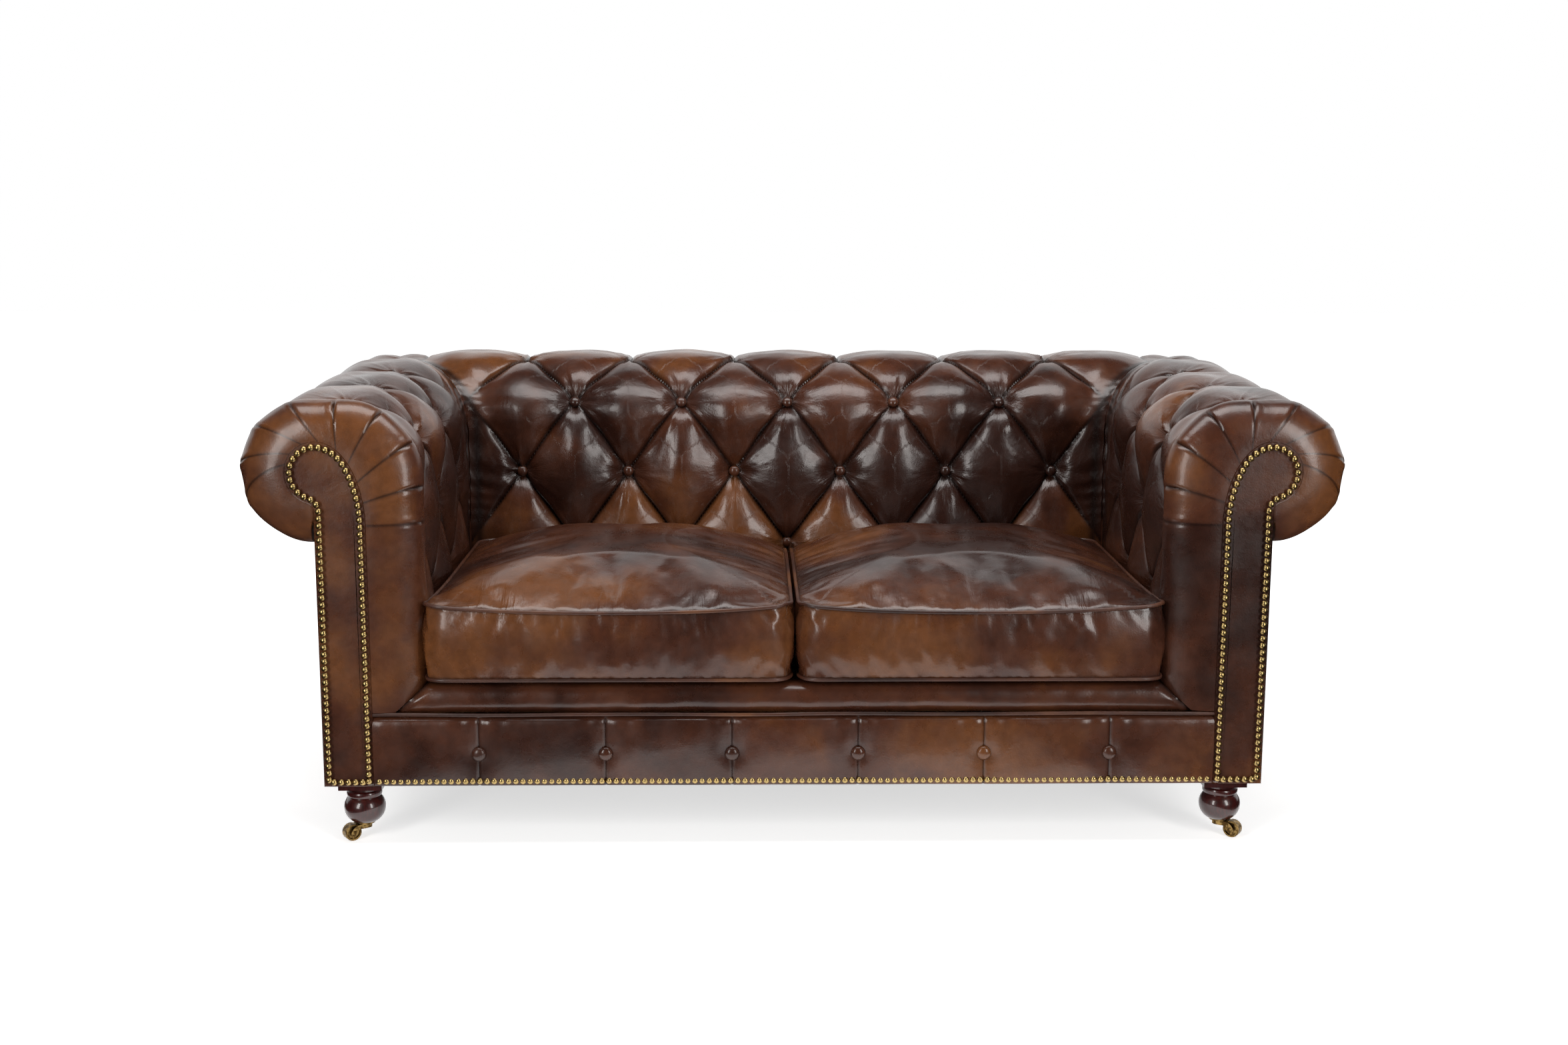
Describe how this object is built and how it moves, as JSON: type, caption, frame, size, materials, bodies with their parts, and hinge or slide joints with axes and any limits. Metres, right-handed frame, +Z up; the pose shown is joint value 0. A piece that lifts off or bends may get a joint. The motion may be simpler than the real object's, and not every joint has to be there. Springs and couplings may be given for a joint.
{
  "type": "chesterfield sofa",
  "caption": "Deep-buttoned leather sofa with rolled arms level with its back, loose seat cushions, nailed scroll fronts, bun feet on castors and tapered rear legs.",
  "frame": {"origin": "middle of the footprint at floor level", "axes": "+X along the sofa to the right as seen from the front, +Y to the back, +Z up"},
  "size_m": [1.8, 0.9799, 0.7555],
  "materials": {
    "leather": "hand-rubbed glossy brown leather, mottled from near black to cognac",
    "filling": "foam and feather in a cotton case",
    "deck_cloth": "black woven platform cloth",
    "hessian": "coarse jute hessian over webbing",
    "timber": "unfinished beech",
    "spring_steel": "oiled spring steel",
    "nail_brass": "antiqued brass, darker round the rim",
    "castor_brass": "aged cast brass",
    "foot_wood": "turned hardwood in glossy mahogany lacquer",
    "glide_nylon": "moulded nylon"
  },
  "bodies": {
    "root": {"arm_padding_left": "leather", "arm_padding_right": "leather", "back_padding": "leather", "arm_buttons_left": "leather", "arm_buttons_right": "leather", "back_buttons": "leather", "scroll_facing_left": "leather", "scroll_facing_right": "leather", "outside_arm_left": "leather", "outside_arm_right": "leather", "outside_back": "leather", "seat_border": "leather", "front_rail_cover": "leather", "front_rail_piping": "leather", "front_rail_buttons": "leather", "deck": "deck_cloth", "dust_cover": "deck_cloth", "arm_lining_left": "hessian", "arm_lining_right": "hessian", "back_lining": "hessian", "front_rail": "timber", "back_rail": "timber", "centre_brace": "timber", "side_rail_left": "timber", "side_rail_right": "timber", "corner_post_left": "timber", "corner_post_right": "timber", "back_uprights": "timber", "corner_blocks": "timber", "arm_roll_left": "timber", "arm_roll_right": "timber", "back_roll": "timber", "scroll_board_left": "timber", "scroll_board_right": "timber", "seat_springs": "spring_steel", "spring_clips": "spring_steel", "front_rail_nails": "nail_brass", "facing_nails_left": "nail_brass", "facing_nails_right": "nail_brass", "rear_glides": "glide_nylon", "foot_block_left": "foot_wood", "bun_foot_left": "foot_wood", "rear_leg_left": "foot_wood", "castor_plate_left": "castor_brass", "foot_block_right": "foot_wood", "bun_foot_right": "foot_wood", "rear_leg_right": "foot_wood", "castor_plate_right": "castor_brass"},
    "cushion_left": {"cushion_cover_left": "leather", "cushion_filling_left": "filling", "cushion_piping_left": "leather"},
    "castor_left": {"castor_horn_left": "castor_brass", "castor_axle_left": "castor_brass"},
    "wheel_left": {"castor_wheel_left": "castor_brass"},
    "cushion_right": {"cushion_cover_right": "leather", "cushion_filling_right": "filling", "cushion_piping_right": "leather"},
    "castor_right": {"castor_horn_right": "castor_brass", "castor_axle_right": "castor_brass"},
    "wheel_right": {"castor_wheel_right": "castor_brass"}
  },
  "joints": [
    {"name": "cushion_lift_left", "type": "slide", "parent": "root", "child": "cushion_left", "axis": [0, 0, 1], "range_m": [0, 0.45]},
    {"name": "castor_swivel_left", "type": "hinge", "parent": "root", "child": "castor_left", "pos_m": [-0.72, -0.433, 0.014], "axis": [0, 0, 1], "continuous": true},
    {"name": "wheel_spin_left", "type": "hinge", "parent": "castor_left", "child": "wheel_left", "pos_m": [-0.74048, -0.44734, 0.014], "axis": [0.5736, -0.8192, 0], "continuous": true},
    {"name": "cushion_lift_right", "type": "slide", "parent": "root", "child": "cushion_right", "axis": [0, 0, 1], "range_m": [0, 0.45]},
    {"name": "castor_swivel_right", "type": "hinge", "parent": "root", "child": "castor_right", "pos_m": [0.72, -0.433, 0.014], "axis": [0, 0, 1], "continuous": true},
    {"name": "wheel_spin_right", "type": "hinge", "parent": "castor_right", "child": "wheel_right", "pos_m": [0.74048, -0.44734, 0.014], "axis": [0.5736, 0.8192, 0], "continuous": true}
  ]
}
